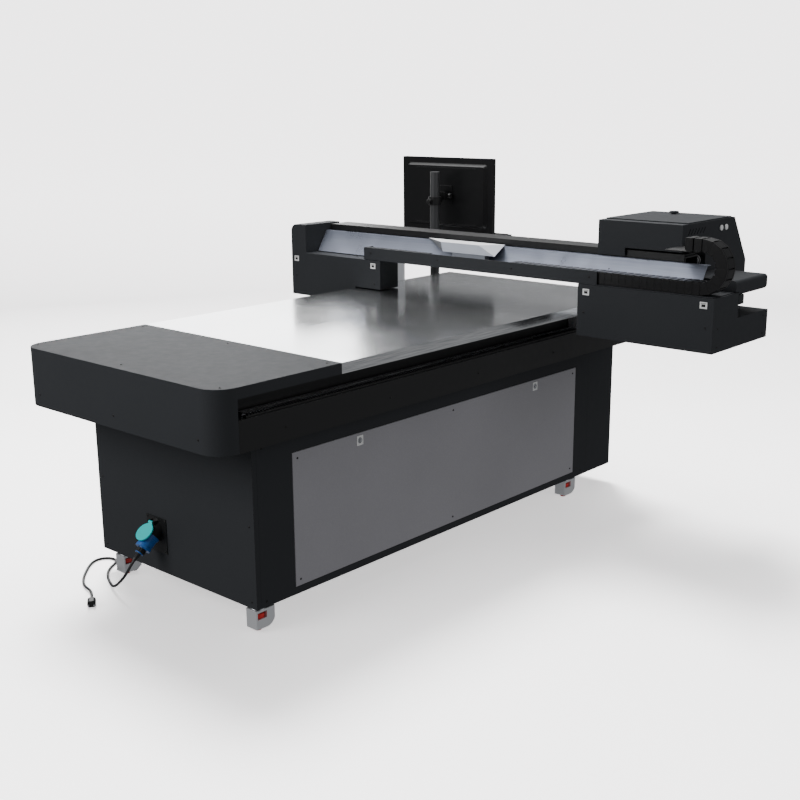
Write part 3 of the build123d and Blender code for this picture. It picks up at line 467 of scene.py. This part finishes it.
# small blank plates on the gantry's front, each with a plain square and bar
plate_places = ((-1.095, 1.005), (-0.586, 1.010), (0.569, 1.007), (1.079, 1.009))
bm = bmesh.new()
for x, z in plate_places:
    add_block(bm, (x - 0.015, 0.3620, z - 0.0125), (x + 0.015, 0.3634, z + 0.0125), 0.0004)
piece_from(bm, "plates_gantry", "castor_silver", "gantry", white_label)
bm = bmesh.new()
for x, z in plate_places:
    add_block(bm, (x - 0.008, 0.3616, z - 0.006), (x + 0.008, 0.3624, z + 0.004), 0.0003)
    add_block(bm, (x - 0.011, 0.3616, z + 0.0065), (x + 0.011, 0.3624, z + 0.0085), 0.0003)
piece_from(bm, "plate_marks_gantry", "black_plastic", "gantry")

# a white surround for each of the service panel's latches
bm = bmesh.new()
for y in (-0.656, 0.416):
    add_block(bm, (0.2968, y - 0.0155, 0.5535), (0.2979, y + 0.0155, 0.5885), 0.0003)
    for low_y, high_y in ((y - 0.016, y - 0.012), (y + 0.012, y + 0.016)):
        add_block(bm, (0.2965, low_y, 0.553), (0.2985, high_y, 0.589), 0.0004)
    for low_z, high_z in ((0.553, 0.558), (0.584, 0.589)):
        add_block(bm, (0.2965, y - 0.012, low_z), (0.2985, y + 0.012, high_z), 0.0004)
piece_from(bm, "latch_surrounds", "castor_silver", "service_door", white_label)

# toothed racks that the gantry's drives run on, in the slot at each side of the table
tooth_pitch = 0.012
rack_width = 0.016
bm = bmesh.new()
for low_x in (0.3755, -0.6855):
    add_block(bm, (low_x, -1.26, 0.7925), (low_x + rack_width, 1.035, 0.8005), 0.0005)
    for i in range(190):
        y = -1.25 + i * tooth_pitch
        add_block(bm, (low_x + 0.001, y, 0.800), (low_x + 0.015, y + tooth_pitch / 2, 0.8045))
piece_from(bm, "drive_racks", "frame_black", "base")

# ------------------------------------------------------------------ carriage and station details
bm = bmesh.new()
for y in (0.833, 0.875):
    add_lathe(bm, (0.8945, y, 1.243), right,
              [(0, 0.0115), (0.0040, 0.0115), (0.0052, 0.0100), (0.0056, 0.0070), (0.0058, 0.0010)], 32)
piece_from(bm, "carriage_ports", "castor_silver", "carriage", white_label, True)

bm = bmesh.new()
add_block(bm, (-1.1515, 1.2441, 1.0925), (-0.5665, 1.2446, 1.4505), 0.0001)
piece_from(bm, "screen_glass", "black_gloss", "screen", screen_material())
bm = bmesh.new()
for i in range(26):
    x = -1.05 + i * 0.0155
    for low_z in (1.405, 1.119):
        add_block(bm, (x, 1.2038, low_z), (x + 0.009, 1.2062, low_z + 0.006), 0.0004)
piece_from(bm, "screen_vents", "black_plastic", "screen")
bm = bmesh.new()
for spot, facing, radius in (((-0.818, 1.186, 1.268), right, 0.013), ((-0.845, 1.076, 1.246), front, 0.014)):
    add_lathe(bm, spot, facing, [(0, 0.006), (0.004, 0.006), (0.005, radius), (0.018, radius),
                                 (0.020, radius - 0.002), (0.020, 0.001)], 48, 8, 0.0012)
piece_from(bm, "arm_knobs", "black_plastic", "screen_arm", smooth=True)


# ------------------------------------------------------------------ cable chain
chain_y = 0.405
bend_radius = 0.080
bend_links = 8
half_width = 0.033
link_inner, link_outer = -0.0248, 0.0248        # a link's inner and outer face, from its middle
bent_outer = 0.0226                             # a bent link's corners stay inside the bend's own radius
link_pitch = math.pi * bend_radius / bend_links
centre = Vector((1.056, chain_y, 1.146))
lower_z = centre.z - bend_radius
upper_z = centre.z + bend_radius
run_end = centre.x - 0.0005


def add_wedge(bm, half_low, half_high, low_z, high_z, half_y, place, offset_y=0.0):
    """A block whose length differs between its inner and outer face, with softened edges."""
    made = bmesh.ops.create_cube(bm, size=1)
    for v in made["verts"]:
        half = half_high if v.co.z > 0 else half_low
        v.co = Vector((2 * v.co.x * half, 2 * v.co.y * half_y + offset_y, high_z if v.co.z > 0 else low_z))
    lines = list({line for v in made["verts"] for line in v.link_edges})
    result = bmesh.ops.bevel(bm, geom=lines, offset=0.0005, segments=1, profile=0.5, affect="EDGES")
    verts = {v for face in result["faces"] for v in face.verts} | {v for v in made["verts"] if v.is_valid}
    bmesh.ops.transform(bm, matrix=place, verts=list(verts))


def add_link(bm, place, half_angle=0.0):
    """One closed link: a body, pads with a slot between each two outside, and teeth inside."""
    def half(z):
        return (bend_radius + z) * math.tan(half_angle) if half_angle else link_pitch / 2 - 0.0001

    top = bent_outer if half_angle else link_outer
    body_top = top - 0.0045
    body_foot = -0.021
    groove = 0.0030
    add_wedge(bm, half(body_foot), half(body_top), body_foot, body_top, half_width, place)
    add_wedge(bm, half(body_top) - groove, half(top) - groove, body_top - 0.0005, top, 0.0225, place)
    add_wedge(bm, half(link_inner) - groove, half(body_foot) - groove, link_inner, body_foot + 0.0005,
              half_width, place)
    for side in (-1, 1):
        add_wedge(bm, half(body_top), half(top), body_top - 0.0005, top, 0.0048, place, side * 0.0282)


def straight_places(x_from, x_to, z, facing):
    """Evenly spread link places along a straight run, facing up or down."""
    count = round((x_to - x_from) / link_pitch)
    step = (x_to - x_from) / count
    turn = Matrix.Rotation(0 if facing > 0 else math.pi, 4, "X")
    return [Matrix.Translation((x_from + (i + 0.5) * step, chain_y, z)) @ turn for i in range(count)]


link_angle = math.radians(180 / bend_links)
bm = bmesh.new()
for i in range(bend_links):
    angle = math.radians(-90) + link_angle * (i + 0.5)
    radial = Vector((math.cos(angle), 0, math.sin(angle)))
    turn = Matrix.Rotation(math.pi / 2 - angle, 4, "Y")
    add_link(bm, Matrix.Translation(centre + radial * bend_radius) @ turn, link_angle / 2)
bend = piece_from(bm, "chain_bend_links", "chain_black", "bend")
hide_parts("chain_bend")

lower_start = 0.1755
bm = bmesh.new()
for place in straight_places(lower_start, run_end, lower_z, -1):
    add_link(bm, place)
lower = piece_from(bm, "chain_lower_links", "chain_black", None)
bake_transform(lower)
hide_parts("chain_lower_run")

# the upper run's far end follows the carriage and its near end the bend, which moves half as far, so the
# blend starts, at the gantry, as far beyond the bend as the carriage's end lies before it
upper_start = 0.9835
bm = bmesh.new()
for place in straight_places(upper_start, run_end, upper_z, 1):
    add_link(bm, place)
upper = piece_from(bm, "chain_upper_links", "chain_black", None)
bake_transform(upper)
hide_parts("chain_upper_run")


# ------------------------------------------------------------------ studio
def make_studio():
    """A pale floor that sweeps up into a backdrop behind the object, seen from the camera."""
    toward = backdrop_way
    sideways = Vector((toward.y, -toward.x, 0))
    half_across, near_end, sweep_start, sweep_radius, height = 14, -9, 6.0, 3, 9.0
    outline = [(near_end, 0), (sweep_start, 0)]
    for angle in [math.radians(10 * i) for i in range(1, 10)]:
        outline.append((sweep_start + sweep_radius * math.sin(angle), sweep_radius * (1 - math.cos(angle))))
    outline.append((sweep_start + sweep_radius, height))
    bm = bmesh.new()
    rows = [[bm.verts.new(toward * along + sideways * across + Vector((0, 0, z)))
             for across in (-half_across, 0, half_across)] for along, z in outline]
    for first, second in zip(rows, rows[1:]):
        for i in range(2):
            bm.faces.new((first[i], first[i + 1], second[i + 1], second[i]))
    mesh = bpy.data.meshes.new("studio_floor")
    bm.to_mesh(mesh)
    bm.free()
    mesh.shade_smooth()
    mesh.materials.append(backdrop_material())
    floor = bpy.data.objects.new("studio_floor", mesh)
    bpy.context.scene.collection.objects.link(floor)
    floor.visible_diffuse = False
    floor.visible_glossy = False
    data = bpy.data.lights.new("floor_sun", "SUN")
    data.energy = 9.0
    data.angle = math.radians(22)
    sun = bpy.data.objects.new("floor_sun", data)
    sun.rotation_euler = Vector((0.45, -0.28, -0.85)).to_track_quat("-Z", "Y").to_euler()
    bpy.context.scene.collection.objects.link(sun)
    lit = bpy.data.collections.new("floor_only")
    lit.objects.link(floor)
    sun.light_linking.receiver_collection = lit


def area_light(name, place, target, size, power):
    data = bpy.data.lights.new(name, "AREA")
    data.shape = "RECTANGLE"
    data.size, data.size_y = size
    data.energy = power
    light = bpy.data.objects.new(name, data)
    light.location = place
    light.rotation_euler = (Vector(target) - Vector(place)).to_track_quat("-Z", "Y").to_euler()
    bpy.context.scene.collection.objects.link(light)


make_studio()
area_light("overhead", (-1.2, 1.2, 4.6), (0, 0, 0.6), (5.0, 4.0), 400)
area_light("front_left", (-1.5, -5.0, 3.2), (0, -0.3, 0.7), (3.0, 3.0), 170)
area_light("back_sweep", (-5.1, 2.5, 2.55), (0, -0.2, 0.9), (3.6, 2.2), 160)
area_light("right_fill", (5.2, 0.8, 2.4), (0.4, 0, 0.7), (2.4, 2.4), 34)
world = bpy.data.worlds.new("world")
world.use_nodes = True
world.node_tree.nodes["Background"].inputs["Color"].default_value = (0.93, 0.94, 0.96, 1)
world.node_tree.nodes["Background"].inputs["Strength"].default_value = 0.30
bpy.context.scene.world = world
